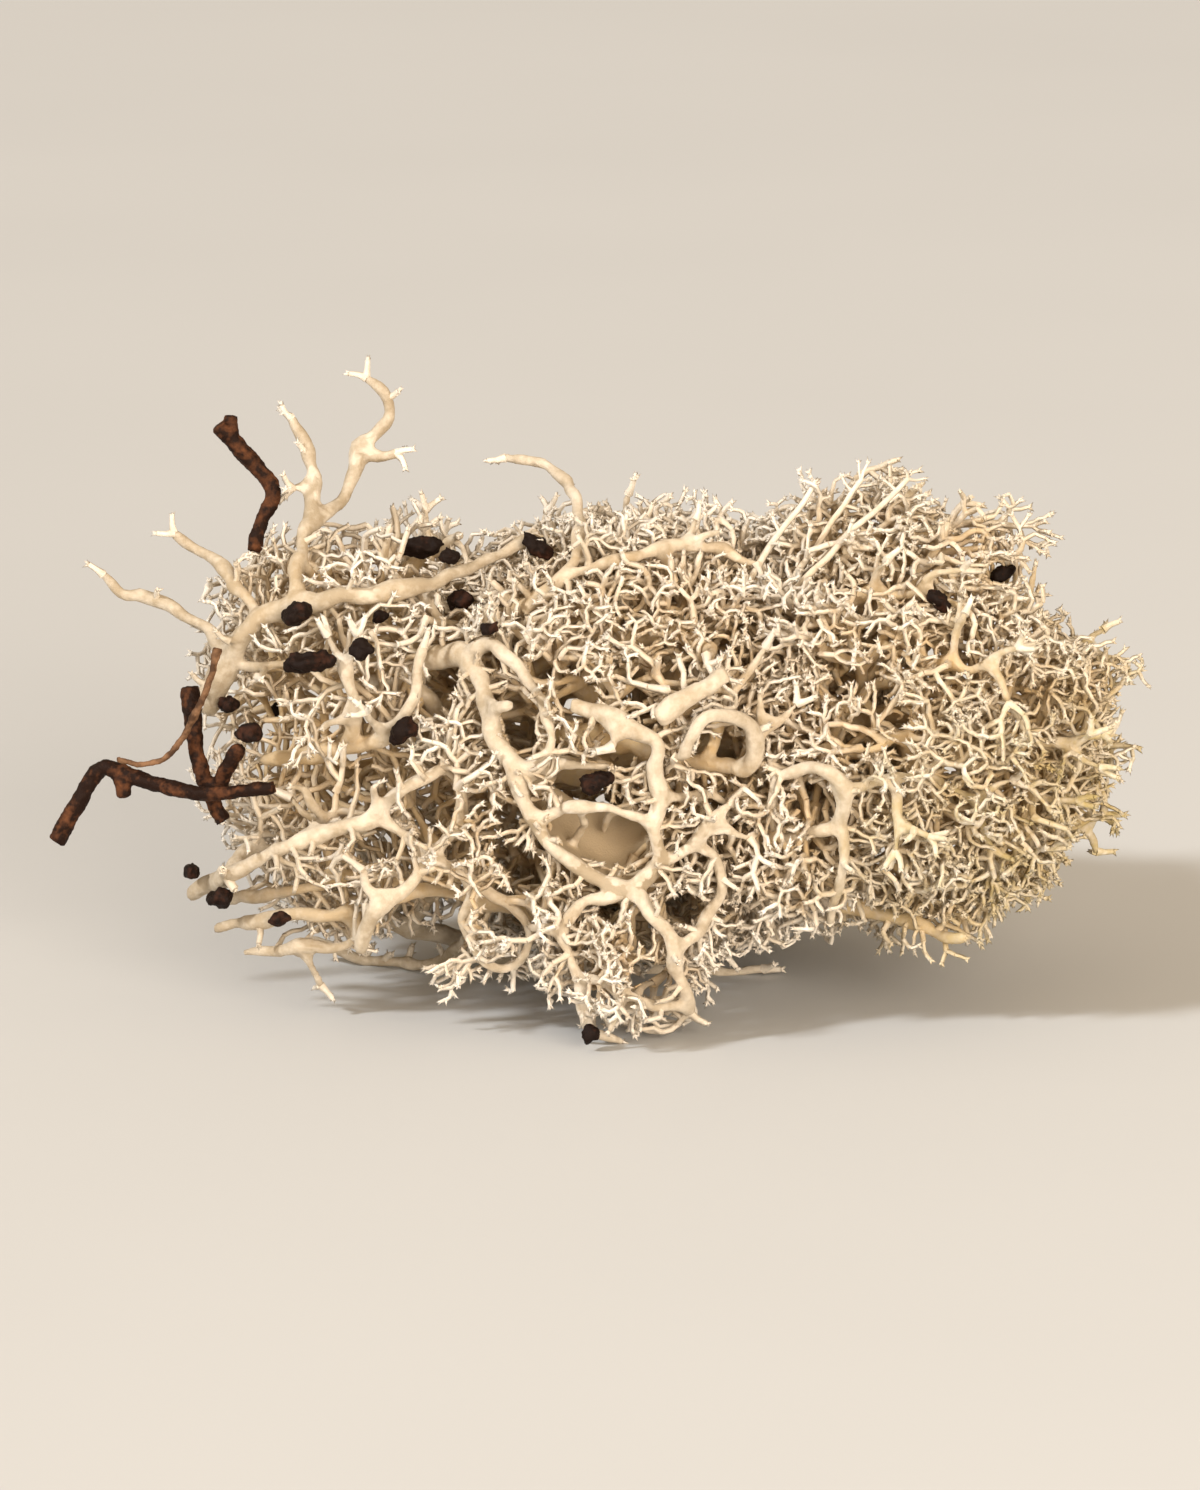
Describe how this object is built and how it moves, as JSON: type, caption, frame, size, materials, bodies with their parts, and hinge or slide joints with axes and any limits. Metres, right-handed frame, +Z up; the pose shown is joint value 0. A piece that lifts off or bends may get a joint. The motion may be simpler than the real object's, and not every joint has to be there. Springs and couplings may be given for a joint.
{
  "type": "reindeer moss clump",
  "caption": "Loose clump of dried reindeer moss: tangled cream podetia with a dense crown at one end, bare old ends at the other, and caught twigs and bark crumbs",
  "frame": {"origin": "bottom centre of the clump's bounding box, on the surface it rests on", "axes": "X runs from the bare old ends to the dense crown, Y runs away from the front, Z is up"},
  "size_m": [0.06, 0.0354, 0.0336],
  "materials": {
    "lichen": "matte, dry and slightly felted, cream at the young tips and tan to brown at the old ends",
    "bark": "matte, rough, very dark red-brown"
  },
  "bodies": {
    "root": {"low_web_podetium": "lichen", "front_web_podetium": "lichen", "hooked_podetium": "lichen", "ring_podetium": "lichen", "low_long_podetium": "lichen", "bare_topped_podetium": "lichen", "straight_podetium": "lichen", "arched_podetium": "lichen", "right_crown_podetium": "lichen", "low_right_podetium": "lichen", "back_right_podetium": "lichen", "top_right_podetium": "lichen", "middle_podetium": "lichen", "back_left_podetium": "lichen", "back_podetium": "lichen", "top_left_podetium": "lichen", "under_podetium": "lichen", "broken_stem": "lichen", "crossing_twig": "bark", "upright_twig": "bark", "forked_twig": "bark", "rootlet": "bark", "long_bark_crumb": "bark", "round_bark_crumb": "bark", "middle_bark_crumb": "bark", "ridge_bark_crumb": "bark", "arch_bark_crumb": "bark", "curled_bark_crumb": "bark", "right_bark_crumb": "bark", "oval_bark_crumb": "bark", "low_bark_crumb": "bark", "corner_bark_crumb": "bark", "foot_bark_crumb": "bark", "edge_bark_crumb": "bark", "left_bark_crumb": "bark", "upper_bark_crumb": "bark", "small_bark_crumb": "bark", "thin_bark_crumb": "bark", "inner_bark_crumb": "bark", "crest_bark_crumb": "bark", "side_bark_crumb": "bark", "chip_bark_crumb": "bark"}
  },
  "joints": []
}
